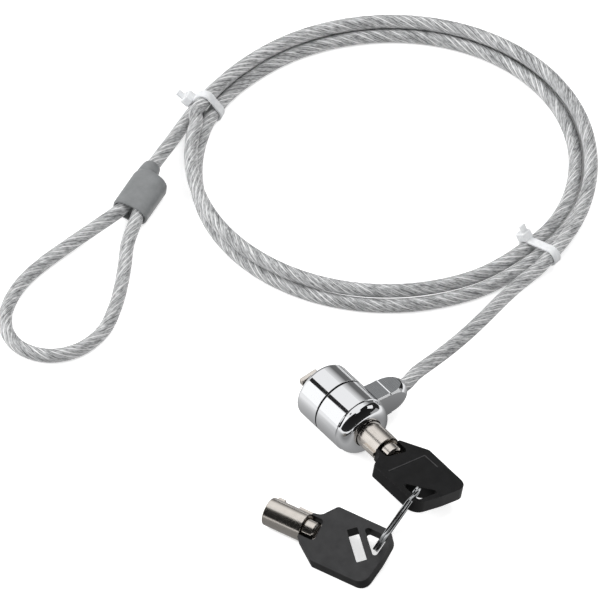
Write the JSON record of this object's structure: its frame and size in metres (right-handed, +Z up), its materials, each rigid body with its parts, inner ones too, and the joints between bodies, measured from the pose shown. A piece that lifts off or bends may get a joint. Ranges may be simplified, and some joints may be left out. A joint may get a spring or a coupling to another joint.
{
  "type": "laptop cable lock",
  "caption": "Round keyed lock head with a turning T-bar, two tubular keys on a split ring, and a coiled coated steel cable that ends in a crimped eye.",
  "frame": {"origin": "the point where the lock's axis crosses the plane of the front face pad, which rests against the computer's case", "axes": "+X along the lock's axis from the front face to the key end, +Y from the axis out along the cable lug, +Z up from the table the lock lies on"},
  "size_m": [0.21, 0.2134, 0.0238],
  "materials": {
    "chrome_shell": "polished",
    "rubber_pad": "matte",
    "nickel": "satin, warm nickel plate",
    "brass": "machined",
    "pin_steel": "ground",
    "spring_steel": "drawn wire",
    "ring_steel": "polished",
    "key_1_plastic": "satin moulded",
    "key_2_plastic": "satin moulded",
    "coated_cable": "stranded steel under clear plastic",
    "ferrule_plastic": "satin moulded",
    "crimp_metal": "pressed, dull",
    "tie_nylon": "translucent natural nylon"
  },
  "bodies": {
    "lock": {"front_collar": "chrome_shell", "face_pad": "rubber_pad", "locator_posts": "nickel", "rear_shell": "chrome_shell", "cylinder_sleeve": "nickel", "pin_block": "brass", "driver_pins": "pin_steel", "pin_springs": "spring_steel", "retaining_pin": "pin_steel", "cable_stop": "pin_steel", "lock_lead": "coated_cable", "cable_coil": "coated_cable", "ferrule_lead": "coated_cable", "eye_loop": "coated_cable", "ferrule_cover": "ferrule_plastic", "ferrule_crimp": "crimp_metal", "tie_1": "tie_nylon", "tie_2": "tie_nylon"},
    "spindle": {"spindle": "brass", "key_pins": "pin_steel", "spindle_clip": "spring_steel", "t_bar": "nickel"},
    "key_1": {"key_1_barrel": "nickel", "key_1_head": "key_1_plastic"},
    "ring": {"split_ring": "ring_steel"},
    "key_2": {"key_2_barrel": "nickel", "key_2_head": "key_2_plastic"}
  },
  "joints": [
    {"name": "spindle_turn", "type": "hinge", "parent": "lock", "child": "spindle", "pos_m": [0, 0, 0], "axis": [-1, 0, 0], "range_deg": [0, 90]},
    {"name": "key_1_slide", "type": "slide", "parent": "spindle", "child": "key_1", "axis": [1, 0, 0], "range_m": [0, 0.015]},
    {"name": "ring_swing", "type": "hinge", "parent": "key_1", "child": "ring", "pos_m": [0.05751, -0.00639, 0.00138], "axis": [-0.3286, -0.208, -0.9213], "range_deg": [-45, 12]},
    {"name": "key_2_swing", "type": "hinge", "parent": "ring", "child": "key_2", "pos_m": [0.06426, -0.02694, -0.00438], "axis": [0.5272, -0.3958, 0.752], "range_deg": [-40, 10]}
  ]
}
